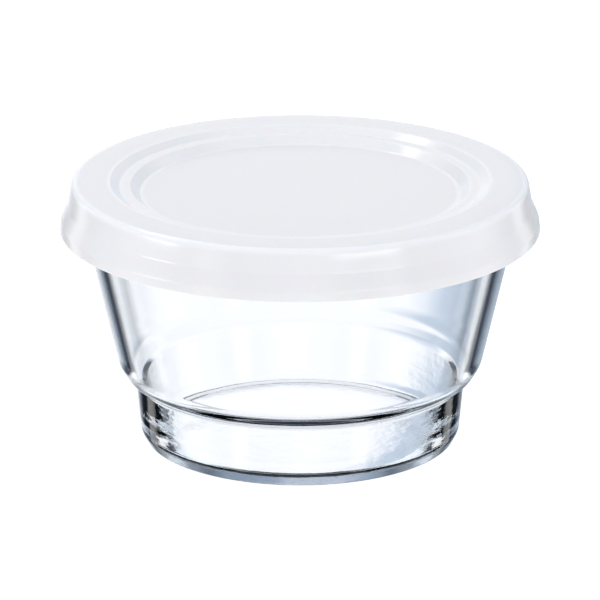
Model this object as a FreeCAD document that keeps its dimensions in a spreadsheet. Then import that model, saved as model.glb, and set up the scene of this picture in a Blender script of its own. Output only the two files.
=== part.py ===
import FreeCAD, Part
import Sketcher
import os

# Small round storage bowl of clear pressed glass, closed by a soft snap lid.
# Millimetres. +Z is the bowl's axis, and the origin is the centre of the plane that it rests on.

# Driving dimensions. Radii are from the axis. Heights of the bowl are above its resting plane. Heights of
# the lid are above its seat, the face that lies on the rim, and a drop or a depth is measured down from it.
DIMENSIONS = {
    # outside of the bowl
    "bowl_height": 69.8,
    "rim_radius": 59.5,
    "shoulder_radius": 48.5,
    "shoulder_height": 22.0,
    "underside_radius": 46.5,
    "underside_height": 18.5,
    "foot_top_radius": 43.75,
    "foot_top_height": 16.5,
    "foot_low_radius": 42.5,
    "foot_low_height": 2.8,
    "foot_base_radius": 41.1,
    # inside of the bowl
    "wall": 3.4,
    "inner_shoulder_height": 21.0,
    "inner_foot_radius": 41.3,
    "inner_foot_height": 18.0,
    "floor_height": 2.6,
    "floor_radius": 38.1,
    # hollow under the base, inside the resting ring
    "hollow_radius": 37.0,
    "hollow_slope": 1.0,
    "hollow_depth": 0.5,
    # rounded edges of the bowl
    "rim_round": 1.6,
    "shoulder_round": 7.9,
    "underside_round": 5.0,
    "foot_top_round": 1.2,
    "foot_low_round": 3.0,
    "foot_base_round": 1.0,
    "inner_shoulder_round": 3.0,
    "inner_foot_round": 3.0,
    "floor_round": 1.0,
    "hollow_round": 0.3,
    # lid
    "seat_gap": 0.1,
    "lid_wall": 1.0,
    "lid_radius": 60.2,
    "step_radius": 50.1,
    "ledge_outer_radius": 47.7,
    "ledge_inner_radius": 44.7,
    "ledge_drop": 1.3,
    "panel_radius": 42.2,
    "panel_drop": 3.3,
    "under_shift": 0.35,
    "waist_radius": 61.3,
    "waist_depth": 5.3,
    "flare_radius": 63.15,
    "flare_depth": 9.5,
    "lip_radius": 63.45,
    "lip_depth": 12.0,
    "lip_wall": 0.8,
    # snap bead and sealing fin inside the lid
    "bead_radius": 59.5,
    "bead_depth": 4.6,
    "bead_half_height": 0.9,
    "bead_head_radius": 59.9,
    "bead_foot_radius": 60.2,
    "fin_radius": 54.4,
    "fin_depth": 3.2,
    "fin_root_half_wall": 0.5,
    "fin_tip_half_wall": 0.35,
    # rounded edges of the lid
    "lid_round": 1.6,
    "step_round": 0.9,
    "waist_round": 1.2,
    "lip_round": 0.3,
    "bead_round": 0.4,
}

ZERO = "0"
ON_EDGE = 0.01


def make_sheet(doc):
    sheet = doc.addObject("Spreadsheet::Sheet", "sizes")
    for row, (alias, value) in enumerate(DIMENSIONS.items(), start=1):
        sheet.set(f"A{row}", alias)
        sheet.set(f"B{row}", str(value))
        sheet.setAlias(f"B{row}", alias)
    doc.recompute()


def new_body(doc, label):
    body = doc.addObject("PartDesign::Body", label)
    body.Label = label
    return body


def origin_feature(body, role):
    return next(feature for feature in body.Origin.OriginFeatures if feature.Role == role)


def bind_corner(sketch, kind, line, value, expression):
    # The corner is the start of its line, measured from the sketch's origin.
    constraint = sketch.addConstraint(Sketcher.Constraint(kind, -1, 1, line, 1, value))
    sketch.setExpression(f"Constraints[{constraint}]", expression)


def draw_section(body, name, corners):
    # Closed outline on the XZ plane. A corner is a radius and a height, as expressions on the sheet.
    sketch = body.newObject("Sketcher::SketchObject", name)
    sketch.AttachmentSupport = [(origin_feature(body, "XZ_Plane"), "")]
    sketch.MapMode = "FlatFace"
    points = [FreeCAD.Vector(body.evalExpression(radius), body.evalExpression(height), 0)
              for radius, height in corners]
    for start, end in zip(points, points[1:] + points[:1]):
        sketch.addGeometry(Part.LineSegment(start, end), False)
    for line, (point, (radius, height)) in enumerate(zip(points, corners)):
        sketch.addConstraint(Sketcher.Constraint("Coincident", line, 2, (line + 1) % len(points), 1))
        if radius == ZERO:
            sketch.addConstraint(Sketcher.Constraint("PointOnObject", line, 1, -2))
        else:
            bind_corner(sketch, "DistanceX", line, point.x, radius)
        bind_corner(sketch, "DistanceY", line, point.y, height)
    return sketch


def revolve_section(body, sketch, name):
    turned = body.newObject("PartDesign::Revolution", name)
    turned.Profile = sketch
    turned.ReferenceAxis = (sketch, ["V_Axis"])
    turned.Angle = 360
    body.Document.recompute()
    return turned


def ring_edge(feature, radius, height):
    # Name of the circular edge that the turned corner at this radius and height made.
    for number, edge in enumerate(feature.Shape.Edges, start=1):
        circle = edge.Curve
        if not isinstance(circle, Part.Circle):
            continue
        if abs(circle.Radius - radius) < ON_EDGE and abs(circle.Center.z - height) < ON_EDGE:
            return f"Edge{number}"
    raise RuntimeError(f"no edge of radius {radius:.2f} at height {height:.2f}")


def round_corners(body, name, corners, size):
    # One fillet feature on the edges of the given corners, with its radius taken from the sheet.
    base = body.Tip
    edges = [ring_edge(base, body.evalExpression(radius), body.evalExpression(height))
             for radius, height in corners]
    rounded = body.newObject("PartDesign::Fillet", name)
    rounded.Base = (base, edges)
    rounded.setExpression("Radius", size)
    body.Document.recompute()


def make_bowl(doc):
    # One pressing: a conical wall, a rounded shoulder, a narrower foot that stands in the lid of the next
    # bowl, and a flat floor on a resting ring.
    body = new_body(doc, "glass_bowl")
    base_edge = ("sizes.foot_base_radius", ZERO)
    foot_low = ("sizes.foot_low_radius", "sizes.foot_low_height")
    foot_top = ("sizes.foot_top_radius", "sizes.foot_top_height")
    underside = ("sizes.underside_radius", "sizes.underside_height")
    shoulder = ("sizes.shoulder_radius", "sizes.shoulder_height")
    rim_outer = ("sizes.rim_radius", "sizes.bowl_height")
    rim_inner = ("sizes.rim_radius - sizes.wall", "sizes.bowl_height")
    flare = "(sizes.rim_radius - sizes.shoulder_radius) / (sizes.bowl_height - sizes.shoulder_height)"
    inner_rise = "(sizes.inner_shoulder_height - sizes.shoulder_height)"
    inner_shoulder = (f"sizes.shoulder_radius + {inner_rise} * {flare} - sizes.wall",
                      "sizes.inner_shoulder_height")
    inner_foot = ("sizes.inner_foot_radius", "sizes.inner_foot_height")
    floor_edge = ("sizes.floor_radius", "sizes.floor_height")
    hollow_roof = ("sizes.hollow_radius - sizes.hollow_slope", "sizes.hollow_depth")
    hollow_mouth = ("sizes.hollow_radius", ZERO)
    section = draw_section(body, "bowl_section", [
        (ZERO, "sizes.hollow_depth"), hollow_roof, hollow_mouth, base_edge, foot_low, foot_top, underside,
        shoulder, rim_outer, rim_inner, inner_shoulder, inner_foot, floor_edge,
        (ZERO, "sizes.floor_height")])
    revolve_section(body, section, "bowl_turned")
    round_corners(body, "shoulder_rounded", [shoulder], "sizes.shoulder_round")
    round_corners(body, "underside_rounded", [underside], "sizes.underside_round")
    round_corners(body, "foot_top_rounded", [foot_top], "sizes.foot_top_round")
    round_corners(body, "foot_low_rounded", [foot_low], "sizes.foot_low_round")
    round_corners(body, "foot_base_rounded", [base_edge], "sizes.foot_base_round")
    round_corners(body, "inner_shoulder_rounded", [inner_shoulder], "sizes.inner_shoulder_round")
    round_corners(body, "inner_foot_rounded", [inner_foot], "sizes.inner_foot_round")
    round_corners(body, "floor_rounded", [floor_edge], "sizes.floor_round")
    round_corners(body, "hollow_rounded", [hollow_mouth, hollow_roof], "sizes.hollow_round")
    round_corners(body, "rim_rounded", [rim_outer, rim_inner], "sizes.rim_round")
    return body


def make_lid(doc):
    # One moulding, drawn with its seat at height zero and raised on to the rim. Its top steps down twice to a
    # flat centre panel that the foot of another bowl can stand in. Its skirt flares to a thin lip. Inside are
    # a fin that centres the lid in the mouth and a bead under the rim.
    body = new_body(doc, "snap_lid")
    lid_edge = ("sizes.lid_radius", "sizes.lid_wall")
    step = ("sizes.step_radius", "sizes.lid_wall")
    ledge_outer = ("sizes.ledge_outer_radius", "sizes.lid_wall - sizes.ledge_drop")
    ledge_inner = ("sizes.ledge_inner_radius", "sizes.lid_wall - sizes.ledge_drop")
    panel = ("sizes.panel_radius", "sizes.lid_wall - sizes.panel_drop")
    waist = ("sizes.waist_radius", "-sizes.waist_depth")
    flare = ("sizes.flare_radius", "-sizes.flare_depth")
    lip = ("sizes.lip_radius", "-sizes.lip_depth")
    lip_inside = ("sizes.lip_radius - sizes.lip_wall", "-sizes.lip_depth")
    flare_inside = ("sizes.flare_radius - sizes.lid_wall", "-sizes.flare_depth")
    bead_foot = ("sizes.bead_foot_radius", "-sizes.bead_depth - sizes.bead_half_height")
    bead_crest = ("sizes.bead_radius", "-sizes.bead_depth")
    bead_head = ("sizes.bead_head_radius", "-sizes.bead_depth + sizes.bead_half_height")
    seat_corner = ("sizes.lid_radius - sizes.lid_wall", ZERO)
    fin = [("sizes.fin_radius + sizes.fin_root_half_wall", ZERO),
           ("sizes.fin_radius + sizes.fin_tip_half_wall", "-sizes.fin_depth"),
           ("sizes.fin_radius - sizes.fin_tip_half_wall", "-sizes.fin_depth"),
           ("sizes.fin_radius - sizes.fin_root_half_wall", ZERO)]
    step_under = ("sizes.step_radius + sizes.under_shift", ZERO)
    ledge_outer_under = ("sizes.ledge_outer_radius + sizes.under_shift", "-sizes.ledge_drop")
    ledge_inner_under = ("sizes.ledge_inner_radius + sizes.under_shift", "-sizes.ledge_drop")
    panel_under = ("sizes.panel_radius + sizes.under_shift", "-sizes.panel_drop")
    section = draw_section(body, "lid_section", [
        (ZERO, "sizes.lid_wall - sizes.panel_drop"), panel, ledge_inner, ledge_outer, step, lid_edge, waist,
        flare, lip, lip_inside, flare_inside, bead_foot, bead_crest, bead_head, seat_corner, *fin,
        step_under, ledge_outer_under, ledge_inner_under, panel_under, (ZERO, "-sizes.panel_drop")])
    revolve_section(body, section, "lid_turned")
    round_corners(body, "waist_rounded", [waist, flare], "sizes.waist_round")
    round_corners(body, "edge_rounded", [lid_edge], "sizes.lid_round")
    round_corners(body, "steps_rounded", [step, ledge_outer, ledge_inner, panel], "sizes.step_round")
    round_corners(body, "under_steps_rounded",
                  [step_under, ledge_outer_under, ledge_inner_under, panel_under], "sizes.step_round")
    round_corners(body, "bead_rounded", [bead_crest], "sizes.bead_round")
    round_corners(body, "lip_rounded", [lip, lip_inside], "sizes.lip_round")
    body.setExpression("Placement.Base.z", "sizes.bowl_height + sizes.seat_gap")
    return body


def check_objects(doc):
    for item in doc.Objects:
        if "Invalid" in item.State or "Error" in item.State:
            raise RuntimeError(f"{item.Label} failed: {item.State}")


def export_body(body):
    shape = body.Shape
    if shape.isNull() or not shape.isValid():
        raise RuntimeError(f"{body.Label} has no valid shape")
    shape.exportStep(f"parts/{body.Label}.step")
    box = shape.optimalBoundingBox()
    print(f"{body.Label}: {shape.Volume / 1000:.1f} ml, radius {box.XMax:.2f},"
          f" height {box.ZMin:.2f} to {box.ZMax:.2f}")


def main():
    os.makedirs("parts", exist_ok=True)
    doc = FreeCAD.newDocument("storage_bowl")
    make_sheet(doc)
    bodies = [make_bowl(doc), make_lid(doc)]
    doc.recompute()
    check_objects(doc)
    for body in bodies:
        export_body(body)


main()
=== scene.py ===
import bpy
import math
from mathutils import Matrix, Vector


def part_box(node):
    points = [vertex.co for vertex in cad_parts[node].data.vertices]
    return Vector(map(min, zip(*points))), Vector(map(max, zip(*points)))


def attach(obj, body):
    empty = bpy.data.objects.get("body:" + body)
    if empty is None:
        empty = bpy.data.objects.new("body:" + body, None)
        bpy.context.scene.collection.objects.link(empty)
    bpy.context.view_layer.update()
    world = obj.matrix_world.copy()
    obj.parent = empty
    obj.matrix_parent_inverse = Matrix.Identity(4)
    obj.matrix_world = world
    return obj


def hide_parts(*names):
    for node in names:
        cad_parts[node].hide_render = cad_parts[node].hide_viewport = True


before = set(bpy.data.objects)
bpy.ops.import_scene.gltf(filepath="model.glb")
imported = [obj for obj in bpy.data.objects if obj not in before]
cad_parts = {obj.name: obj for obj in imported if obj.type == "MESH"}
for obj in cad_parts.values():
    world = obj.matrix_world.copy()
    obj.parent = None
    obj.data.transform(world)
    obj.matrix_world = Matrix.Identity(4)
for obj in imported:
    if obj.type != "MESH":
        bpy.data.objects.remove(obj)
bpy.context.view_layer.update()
scene = bpy.context.scene
mm = 0.001
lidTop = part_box("snap_lid")[1][2]
print("frame loaded, lid top at", round(lidTop / mm, 1), "mm")


class Socket:
    # wraps an output socket, so that node maths reads as plain arithmetic
    def __init__(self, maker, socket):
        self.maker = maker
        self.socket = socket

    def output(self, place):
        return Socket(self.maker, self.socket.node.outputs[place])

    def __add__(self, other):
        return self.maker.math("ADD", self, other)

    def __sub__(self, other):
        return self.maker.math("SUBTRACT", self, other)

    def __rsub__(self, other):
        return self.maker.math("SUBTRACT", other, self)

    def __mul__(self, other):
        return self.maker.math("MULTIPLY", self, other)

    def __truediv__(self, other):
        return self.maker.math("DIVIDE", self, other)

    __radd__ = __add__
    __rmul__ = __mul__


class NodeMaker:
    def __init__(self, tree):
        self.tree = tree

    def node(self, kind, settings=None, inputs=None, output=0):
        made = self.tree.nodes.new(kind)
        for name, value in (settings or {}).items():
            if name == "stops":
                fillRamp(made.color_ramp, value)
            else:
                setattr(made, name, value)
        for name, value in (inputs or {}).items():
            if isinstance(value, Socket):
                self.tree.links.new(value.socket, made.inputs[name])
            else:
                made.inputs[name].default_value = value
        return Socket(self, made.outputs[output])

    def math(self, operation, *inputs):
        return self.node("ShaderNodeMath", {"operation": operation}, dict(enumerate(inputs)))


def fillRamp(ramp, stops):
    while len(ramp.elements) < len(stops):
        ramp.elements.new(1.0)
    for element, (place, colour) in zip(ramp.elements, stops):
        element.position = place
        element.color = (*colour, 1.0)


def latheTree():
    # turns an open outline of radius and height into a closed, smooth body of revolution
    tree = bpy.data.node_groups.new("lathe", "GeometryNodeTree")
    face = tree.interface
    face.new_socket("Geometry", in_out="INPUT", socket_type="NodeSocketGeometry")
    for name, value in (("Segments", 360), ("Arc points", 5)):
        face.new_socket(name, in_out="INPUT", socket_type="NodeSocketInt").default_value = value
    for name, value in (("Step", 0.004), ("Warp", 0.0), ("Warp scale", 1.0), ("Warp seed", 0.0)):
        face.new_socket(name, in_out="INPUT", socket_type="NodeSocketFloat").default_value = value
    face.new_socket("Material", in_out="INPUT", socket_type="NodeSocketMaterial")
    face.new_socket("Geometry", in_out="OUTPUT", socket_type="NodeSocketGeometry")
    make = NodeMaker(tree)
    inputs = tree.nodes.new("NodeGroupInput")
    given = {socket.name: Socket(make, socket) for socket in inputs.outputs if socket.name}

    # outline: round every corner by its own radius, then split long straight runs
    rounding = make.node("GeometryNodeInputRadius")
    rounded = make.node("GeometryNodeFilletCurve", {"mode": "POLY"}, {
        "Curve": given["Geometry"], "Count": given["Arc points"], "Radius": rounding, "Limit Radius": True})
    index = make.node("GeometryNodeInputIndex")
    place = make.node("GeometryNodeInputPosition")
    following = make.node("GeometryNodeFieldAtIndex", {"data_type": "FLOAT_VECTOR", "domain": "POINT"}, {
        "Value": place, "Index": index + 1})
    run = make.node("ShaderNodeVectorMath", {"operation": "DISTANCE"}, {0: place, 1: following}, "Value")
    outline = make.node("GeometryNodeSubdivideCurve", {}, {
        "Curve": rounded, "Cuts": make.node("FunctionNodeFloatToInt", {"rounding_mode": "FLOOR"}, {
            0: run / given["Step"]})})

    # a grid with one row for each point of the outline, bent round the axis
    rows = make.node("GeometryNodeAttributeDomainSize", {"component": "CURVE"}, {"Geometry": outline})
    grid = make.node("GeometryNodeMeshGrid", {}, {
        "Vertices X": rows, "Vertices Y": given["Segments"] + 1})
    perRow = given["Segments"] + 1
    row = make.node("FunctionNodeIntegerMath", {"operation": "DIVIDE_FLOOR"}, {0: index, 1: perRow})
    turn = (index - row * perRow) / given["Segments"] * (2 * math.pi)
    onOutline = make.node("GeometryNodeSampleIndex", {"data_type": "FLOAT_VECTOR", "domain": "POINT"}, {
        "Geometry": outline, "Value": place, "Index": row})
    radius = make.node("ShaderNodeSeparateXYZ", {}, {0: onOutline})
    bent = make.node("ShaderNodeCombineXYZ", {}, {
        0: radius * make.math("COSINE", turn), 1: radius * make.math("SINE", turn), 2: radius.output(1)})
    turned = make.node("GeometryNodeSetPosition", {}, {"Geometry": grid, "Position": bent})
    closed = make.node("GeometryNodeMergeByDistance", {}, {"Geometry": turned, "Distance": 0.002 * mm})
    # slight moulding warp
    noise = make.node("ShaderNodeTexNoise", {"noise_dimensions": "4D"}, {
        "Vector": place, "W": given["Warp seed"], "Scale": given["Warp scale"], "Detail": 1.0})
    lift = make.node("ShaderNodeCombineXYZ", {}, {2: (noise - 0.5) * given["Warp"]})
    warped = make.node("GeometryNodeSetPosition", {}, {"Geometry": closed, "Offset": lift})
    outward = make.node("GeometryNodeFlipFaces", {}, {"Mesh": warped})
    smooth = make.node("GeometryNodeSetShadeSmooth", {}, {"Geometry": outward})
    realized = make.node("GeometryNodeRealizeInstances", {}, {"Geometry": smooth})
    finished = make.node("GeometryNodeSetMaterial", {}, {
        "Geometry": realized, "Material": given["Material"]})
    tree.links.new(finished.socket, tree.nodes.new("NodeGroupOutput").inputs[0])
    return tree


def turnPiece(name, outline, settings, tree):
    # outline: (radius, height, rounding) in mm; the result is a plain mesh with its place in its vertices
    curve = bpy.data.curves.new(name + "Outline", "CURVE")
    curve.dimensions = "3D"
    spline = curve.splines.new("POLY")
    spline.points.add(len(outline) - 1)
    for point, (radius, height, rounding) in zip(spline.points, outline):
        point.co = (radius * mm, height * mm, 0, 1)
        point.radius = rounding * mm
    drawn = bpy.data.objects.new(name + "Outline", curve)
    scene.collection.objects.link(drawn)
    modifier = drawn.modifiers.new("lathe", "NODES")
    modifier.node_group = tree
    for item in tree.interface.items_tree:
        if item.in_out == "INPUT" and item.name != "Geometry":
            modifier[item.identifier] = settings.get(item.name, item.default_value)
    bpy.context.view_layer.update()
    evaluated = drawn.evaluated_get(bpy.context.evaluated_depsgraph_get())
    mesh = bpy.data.meshes.new_from_object(evaluated)
    mesh.name = name
    bpy.data.objects.remove(drawn)
    piece = bpy.data.objects.new(name, mesh)
    scene.collection.objects.link(piece)
    print(name, len(mesh.polygons), "faces", sum(len(p.vertices) - 2 for p in mesh.polygons), "tris")
    return piece


glass = {
    "tint": (0.99, 0.995, 1.0, 1.0), "depthTint": (0.42, 0.5, 0.6, 1.0), "depthDensity": 16.0,
    "rippleScale": 55.0, "rippleStrength": 0.25, "rippleDepth": 0.05,
    "pressScale": 700.0, "pressStretch": (0.4, 0.4, 1.0), "pressAmount": 3.0,
    "pressTop": 17.0, "pressFade": 2.0,
    "grainScale": 900.0, "smoothest": 0.002, "grainRoughness": 0.006,
}


def makeGlass():
    material = bpy.data.materials.new("pressedGlass")
    material.use_nodes = True
    tree = material.node_tree
    tree.nodes.clear()
    make = NodeMaker(tree)
    spot = make.node("ShaderNodeTexCoord", {}, {}, "Object")
    ripple = make.node("ShaderNodeTexNoise", {}, {
        "Vector": spot, "Scale": glass["rippleScale"], "Detail": 2.0})
    # finer, flatter ripples where the mould pressed the foot
    height = make.node("ShaderNodeSeparateXYZ", {}, {0: spot}, 2)
    foot = make.node("ShaderNodeMapRange", {}, {
        "Value": height, "From Min": glass["pressTop"] * mm,
        "From Max": (glass["pressTop"] - glass["pressFade"]) * mm})
    wide = make.node("ShaderNodeVectorMath", {"operation": "MULTIPLY"}, {0: spot, 1: glass["pressStretch"]})
    press = make.node("ShaderNodeTexNoise", {}, {
        "Vector": wide, "Scale": glass["pressScale"], "Detail": 2.0})
    bump = make.node("ShaderNodeBump", {}, {
        "Height": ripple + foot * press * glass["pressAmount"],
        "Strength": glass["rippleStrength"], "Distance": glass["rippleDepth"] * mm})
    grain = make.node("ShaderNodeTexNoise", {}, {
        "Vector": spot, "Scale": glass["grainScale"], "Detail": 3.0})
    shader = make.node("ShaderNodeBsdfPrincipled", {}, {
        "Base Color": glass["tint"], "Transmission Weight": 1.0, "IOR": 1.5,
        "Roughness": grain * glass["grainRoughness"] + glass["smoothest"], "Normal": bump})
    depth = make.node("ShaderNodeVolumeAbsorption", {}, {
        "Color": glass["depthTint"], "Density": glass["depthDensity"]})
    out = tree.nodes.new("ShaderNodeOutputMaterial")
    tree.links.new(shader.socket, out.inputs["Surface"])
    tree.links.new(depth.socket, out.inputs["Volume"])
    return material


# the paler of the two lid colours is painted highlight, laid on by radius through the table below
plastic = {
    "thinColour": (0.795, 0.767, 0.765, 1.0), "paintedHighlightColour": (0.95, 0.925, 0.93, 1.0),
    "paintedHighlight": (  # radius in mm and how much painted highlight the base colour gets there, paling the top corner, the step rings and the skirt
        (41.0, 0.0), (42.0, 0.65), (44.2, 0.65), (45.4, 0.25), (46.4, 0.25), (47.6, 0.55), (50.2, 0.55),
        (51.2, 0.0), (58.4, 0.0), (59.2, 0.9), (60.2, 0.9), (60.5, 0.3), (64.0, 0.3)),
    "paintedHighlightShare": 0.9, "cloudScale": 30.0, "smoothest": 0.15, "cloudRoughness": 0.06,
    "grainScale": 2200.0, "grainStrength": 0.15, "grainDepth": 0.02, "glow": 0.2, "glowDepth": 2.0,
}


def makeMilkyPlastic():
    material = bpy.data.materials.new("milkyPlastic")
    material.use_nodes = True
    tree = material.node_tree
    tree.nodes.clear()
    make = NodeMaker(tree)
    spot = make.node("ShaderNodeTexCoord", {}, {}, "Object")
    cloud = make.node("ShaderNodeTexNoise", {}, {
        "Vector": spot, "Scale": plastic["cloudScale"], "Detail": 3.0})
    grain = make.node("ShaderNodeTexNoise", {}, {
        "Vector": spot, "Scale": plastic["grainScale"], "Detail": 2.0})
    # painted highlight: the base colour is paler along the top corner and the step rings, standing in for
    # highlights there and lifting the shade on the step slopes
    flat = make.node("ShaderNodeVectorMath", {"operation": "MULTIPLY"}, {0: spot, 1: (1.0, 1.0, 0.0)})
    radius = make.node("ShaderNodeVectorMath", {"operation": "LENGTH"}, {0: flat}, "Value") / mm
    reach = plastic["paintedHighlight"][-1][0]
    paintedHighlight = make.node("ShaderNodeValToRGB", {"stops": [
        (place / reach, (amount,) * 3) for place, amount in plastic["paintedHighlight"]]}, {"Fac": radius / reach})
    tint = make.node("ShaderNodeMix", {"data_type": "RGBA"}, {
        "Factor": paintedHighlight * plastic["paintedHighlightShare"] + cloud * (1 - plastic["paintedHighlightShare"]),
        6: plastic["thinColour"], 7: plastic["paintedHighlightColour"]}, 2)
    bump = make.node("ShaderNodeBump", {}, {
        "Height": grain, "Strength": plastic["grainStrength"], "Distance": plastic["grainDepth"] * mm})
    shader = make.node("ShaderNodeBsdfPrincipled", {}, {
        "Base Color": tint, "IOR": 1.5,
        "Roughness": plastic["smoothest"] + plastic["cloudRoughness"] * cloud,
        "Subsurface Weight": plastic["glow"], "Subsurface Scale": plastic["glowDepth"] * mm, "Normal": bump})
    out = tree.nodes.new("ShaderNodeOutputMaterial")
    tree.links.new(shader.socket, out.inputs["Surface"])
    return material


bowl = {
    "rim": 59.5, "height": 69.8, "wall": 3.4,
    "shoulder": (48.5, 22.0, 7.9), "underside": (46.5, 18.5, 5.0),  # radius, height, rounding
    "footTop": (43.75, 16.5, 1.2), "footLow": (42.5, 2.8, 3.0), "footBase": (41.1, 0.0, 1.0),
    "innerShoulderHeight": 21.0, "innerShoulderRound": 3.0,
    "innerFoot": (41.3, 18.0, 3.0), "floor": (38.1, 2.6, 1.0),
    "hollowMouth": (37.0, 0.0, 0.3), "hollowRoof": (36.0, 0.5, 0.3), "rimRound": 1.6,
    "segments": 720, "arcPoints": 7, "spacing": 6.0,
}


def makeBowl(tree, material):
    shoulderRadius, shoulderHeight = bowl["shoulder"][:2]
    rim, height, wall = bowl["rim"], bowl["height"], bowl["wall"]
    flare = (rim - shoulderRadius) / (height - shoulderHeight)
    innerRadius = shoulderRadius + (bowl["innerShoulderHeight"] - shoulderHeight) * flare - wall
    outline = [
        (0, bowl["hollowRoof"][1], 0), bowl["hollowRoof"], bowl["hollowMouth"], bowl["footBase"],
        bowl["footLow"], bowl["footTop"], bowl["underside"], bowl["shoulder"],
        (rim, height, bowl["rimRound"]), (rim - wall, height, bowl["rimRound"]),
        (innerRadius, bowl["innerShoulderHeight"], bowl["innerShoulderRound"]),
        bowl["innerFoot"], bowl["floor"], (0, bowl["floor"][1], 0)]
    return turnPiece("glassBowl", outline, {
        "Segments": bowl["segments"], "Arc points": bowl["arcPoints"], "Step": bowl["spacing"] * mm,
        "Material": material}, tree)


lid = {
    # heights count up from where the lid rests on the rim
    "wall": 1.0, "edge": 60.2, "edgeRound": 1.6, "edgeInnerRound": 0.6,
    "step": 50.1, "ledge": (47.7, 44.7), "panel": 42.2, "stepRound": 0.9,
    "ledgeDrop": 1.3, "panelDrop": 3.3, "underShift": 0.35,
    "waist": (61.3, -5.3, 3.0), "flare": (63.15, -9.5, 2.0),  # radius, height, rounding
    "flareInnerRound": 0.5, "lip": (63.45, -12.0, 0.3), "lipWall": 0.8,
    "bead": (59.5, -4.6, 0.4), "beadHead": 59.9, "beadFoot": 60.2, "beadHalf": 0.9,
    "fin": 54.4, "finDepth": 3.2, "finRoot": 0.5, "finTip": 0.35, "finRound": 0.3,
    "segments": 480, "arcPoints": 5, "spacing": 4.0,
    "warp": 0.05, "warpScale": 40.0, "warpSeed": 3.0,
}


def makeLid(tree, material):
    wall, shift, stepRound = lid["wall"], lid["underShift"], lid["stepRound"]
    seat = lidTop / mm - wall
    outerLedge, innerLedge = lid["ledge"]
    beadHeight, beadRound = lid["bead"][1:]
    flareRadius, flareHeight = lid["flare"][:2]
    lipRadius, lipHeight, lipRound = lid["lip"]
    fin, finTip, finRoot, finRound = lid["fin"], lid["finTip"], lid["finRoot"], lid["finRound"]
    under = [
        (0, -lid["panelDrop"], 0), (lid["panel"] + shift, -lid["panelDrop"], stepRound),
        (innerLedge + shift, -lid["ledgeDrop"], stepRound),
        (outerLedge + shift, -lid["ledgeDrop"], stepRound),
        (lid["step"] + shift, 0, stepRound),
        (fin - finRoot, 0, finRound), (fin - finTip, -lid["finDepth"], finRound),
        (fin + finTip, -lid["finDepth"], finRound), (fin + finRoot, 0, finRound),
        (lid["edge"] - wall, 0, lid["edgeInnerRound"]),
        (lid["beadHead"], beadHeight + lid["beadHalf"], beadRound), lid["bead"],
        (lid["beadFoot"], beadHeight - lid["beadHalf"], beadRound),
        (flareRadius - wall, flareHeight, lid["flareInnerRound"]),
        (lipRadius - lid["lipWall"], lipHeight, lipRound)]
    over = [
        lid["lip"], lid["flare"], lid["waist"], (lid["edge"], wall, lid["edgeRound"]),
        (lid["step"], wall, stepRound), (outerLedge, wall - lid["ledgeDrop"], stepRound),
        (innerLedge, wall - lid["ledgeDrop"], stepRound), (lid["panel"], wall - lid["panelDrop"], stepRound),
        (0, wall - lid["panelDrop"], 0)]
    outline = [(radius, height + seat, rounding) for radius, height, rounding in under + over]
    return turnPiece("snapLid", outline, {
        "Segments": lid["segments"], "Arc points": lid["arcPoints"], "Step": lid["spacing"] * mm,
        "Warp": lid["warp"] * mm, "Warp scale": lid["warpScale"], "Warp seed": lid["warpSeed"],
        "Material": material}, tree)


studio = {
    "distance": 1.4963, "elevation": 18.56, "aim": 0.03732, "lens": 338.2,
    "floor": 1.6, "floorGap": 0.1, "floorColour": (0.3, 0.3, 0.3, 1), "floorGlow": 0.95,
    "skyGlow": 1.2, "lampAim": 0.065,
    "lamps": (  # name, place, width and height, power
        ("back", (-0.4, 0.55, 0.9), (0.45, 0.1), 1.2),
        ("left", (-1.22, -0.44, 0.22), (0.4, 0.09), 1.5),
        ("right", (0.68, -1.08, 0.23), (0.7, 0.06), 1.3)),
    "layers": (  # from and to which elevation it fades in, how much of it, colour
        (-2.0, 4.0, 0.25, (0.9, 1.0, 1.1)), (54.0, 64.0, 1.0, (1.1, 1.1, 1.1)),
        (-30.0, -35.0, 1.0, (0.85, 0.93, 1.0)), (-50.0, -56.0, 1.0, (0.03, 0.035, 0.05))),
    "bars": (  # degrees round from +Y and colour, the same in each quarter turn
        (-45, (1, 1, 1)), (-41, (1, 1, 1)),
        (-37, (0.03, 0.04, 0.06)), (-28, (0.03, 0.04, 0.06)), (-25, (0.21, 0.25, 0.3)),
        (-21, (0.38, 0.43, 0.5)), (-16, (0.65, 0.7, 0.76)), (-11, (0.93, 0.93, 0.96)),
        (3, (0.93, 0.93, 0.96)), (6, (0.47, 0.55, 0.66)), (12, (0.38, 0.45, 0.53)),
        (21, (0.32, 0.37, 0.43)), (25, (0.17, 0.2, 0.25)),
        (28, (0.03, 0.04, 0.06)), (37, (0.03, 0.04, 0.06)), (41, (1, 1, 1)), (45, (1, 1, 1))),
}


def makeCamera():
    camera = bpy.data.objects.new("camera", bpy.data.cameras.new("camera"))
    scene.collection.objects.link(camera)
    lift, far = math.radians(studio["elevation"]), studio["distance"]
    camera.data.lens = studio["lens"]
    camera.data.sensor_width = 36
    camera.data.clip_start = 0.05
    camera.location = (0, -far * math.cos(lift), studio["aim"] + far * math.sin(lift))
    camera.rotation_euler = (math.pi / 2 - lift, 0, 0)
    scene.camera = camera


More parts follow.
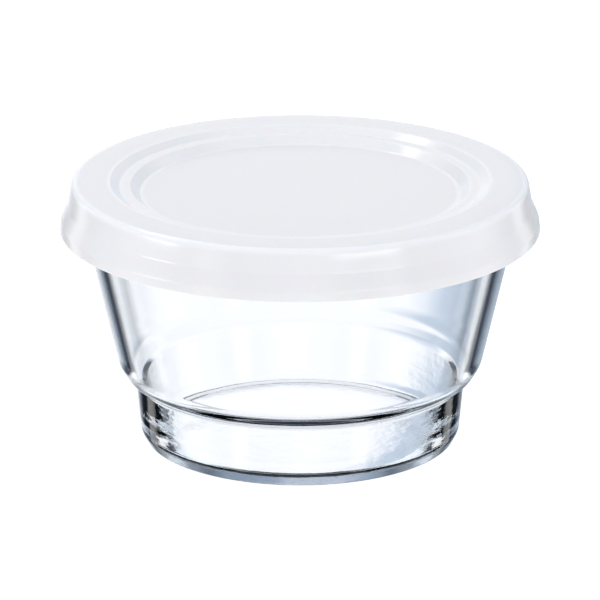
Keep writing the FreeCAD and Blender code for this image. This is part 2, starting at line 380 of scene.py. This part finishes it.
def makeFloor():
    mesh = bpy.data.meshes.new("floor")
    half, low = studio["floor"], -studio["floorGap"] * mm  # just under the foot, so the faces never coincide
    corners = [(-half, -half, low), (half, -half, low), (half, half, low), (-half, half, low)]
    mesh.from_pydata(corners, [], [(0, 1, 2, 3)])
    floor = bpy.data.objects.new("floor", mesh)
    scene.collection.objects.link(floor)
    material = bpy.data.materials.new("paleFloor")
    material.use_nodes = True
    shader = material.node_tree.nodes["Principled BSDF"]
    shader.inputs["Base Color"].default_value = studio["floorColour"]
    shader.inputs["Roughness"].default_value = 0.9
    shader.inputs["Specular IOR Level"].default_value = 0.0
    shader.inputs["Emission Color"].default_value = (1, 1, 1, 1)
    shader.inputs["Emission Strength"].default_value = studio["floorGlow"]
    mesh.materials.append(material)
    floor.visible_transmission = False
    floor.visible_glossy = False


def makeWorld():
    world = bpy.data.worlds.new("studio")
    scene.world = world
    world.use_nodes = True
    tree = world.node_tree
    tree.nodes.clear()
    make = NodeMaker(tree)
    way = make.node("ShaderNodeTexCoord", {}, {}, "Generated")
    x = make.node("ShaderNodeSeparateXYZ", {}, {0: way})
    y, z = x.output(1), x.output(2)
    quarter = math.pi / 2
    turn = make.math("ARCTAN2", x, y) / quarter + 8.5  # never negative, and a bar's row starts at -45 degrees
    pattern = make.node("ShaderNodeValToRGB", {"stops": [
        ((degrees + 45) / 90, colour) for degrees, colour in studio["bars"]]}, {
        "Fac": make.math("FRACT", turn)})
    rise = make.math("ARCSINE", z) * (180 / math.pi)
    for low, high, amount, colour in studio["layers"]:
        step = make.node("ShaderNodeMapRange", {"interpolation_type": "SMOOTHSTEP"}, {
            "Value": rise, "From Min": low, "From Max": high, "To Max": amount})
        pattern = make.node("ShaderNodeMix", {"data_type": "RGBA"}, {
            "Factor": step, 6: pattern, 7: (*colour, 1.0)}, 2)
    seen = make.node("ShaderNodeLightPath", {}, {}, "Is Camera Ray")
    shown = make.node("ShaderNodeMix", {"data_type": "RGBA"}, {
        "Factor": seen, 6: pattern, 7: (1.0, 1.0, 1.0, 1.0)}, 2)
    back = make.node("ShaderNodeBackground", {}, {"Color": shown, "Strength": studio["skyGlow"]})
    out = tree.nodes.new("ShaderNodeOutputWorld")
    tree.links.new(back.socket, out.inputs["Surface"])


def makeLamp(name, place, size, power, lit):
    # size: width and height of the panel, which faces the lid and lights only the pieces in lit
    light = bpy.data.lights.new(name, "AREA")
    light.shape = "RECTANGLE"
    light.size, light.size_y = size
    light.energy = power
    lamp = bpy.data.objects.new(name, light)
    scene.collection.objects.link(lamp)
    lamp.location = place
    aim = Vector((0, 0, studio["lampAim"])) - Vector(place)
    lamp.rotation_euler = aim.to_track_quat("-Z", "Y").to_euler()
    lamp.visible_camera = False
    lamp.light_linking.receiver_collection = lit


makeCamera()
makeFloor()
makeWorld()
scene.view_settings.view_transform = "Standard"
print("studio ready")
lathe = latheTree()
bowlPiece = makeBowl(lathe, makeGlass())
lidPiece = makeLid(lathe, makeMilkyPlastic())
lit = bpy.data.collections.new("lit")
lit.objects.link(lidPiece)
for lamp in studio["lamps"]:
    makeLamp(*lamp, lit)
print("lamps lit:", len(studio["lamps"]))
for piece, body, node, slot in ((bowlPiece, "bowl", "glass_bowl", "clear_glass"),
                                (lidPiece, "lid", "snap_lid", "milky_plastic")):
    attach(piece, body)
    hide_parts(node)
    print(piece.name, "rides on", body)
